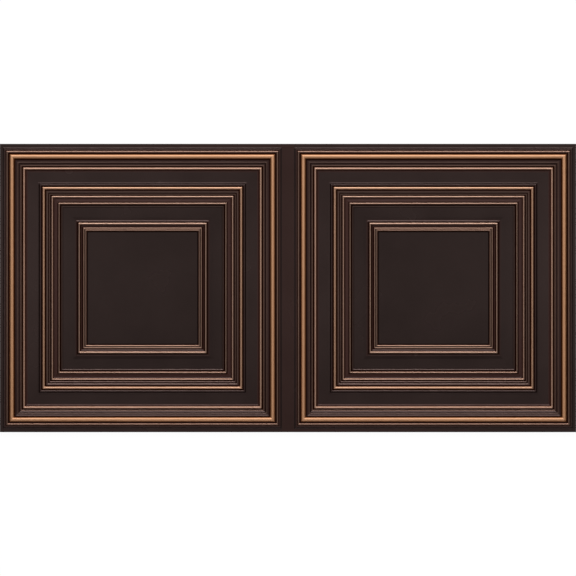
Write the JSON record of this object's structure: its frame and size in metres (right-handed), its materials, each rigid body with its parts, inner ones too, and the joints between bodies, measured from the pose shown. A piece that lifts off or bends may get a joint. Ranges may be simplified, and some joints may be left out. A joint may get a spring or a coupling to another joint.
{
  "type": "pvc ceiling tile",
  "caption": "Oblong lay-in PVC ceiling tile formed from one thin sheet, with stepped coffered panels side by side, framed by mitred mouldings, in antique bronze.",
  "frame": {"origin": "under the middle of the tile, in the plane of the backs of the two centre panels", "axes": "+X along the tile's length, +Y across it, +Z out of the decorated face"},
  "size_m": [1.21, 0.605, 0.0177],
  "materials": {
    "antique_bronze_pvc": "dark bronze-brown satin sheet with copper-gold rubbed on the moulded ridges"
  },
  "bodies": {
    "root": {"ceiling_tile": "antique_bronze_pvc"}
  },
  "joints": []
}
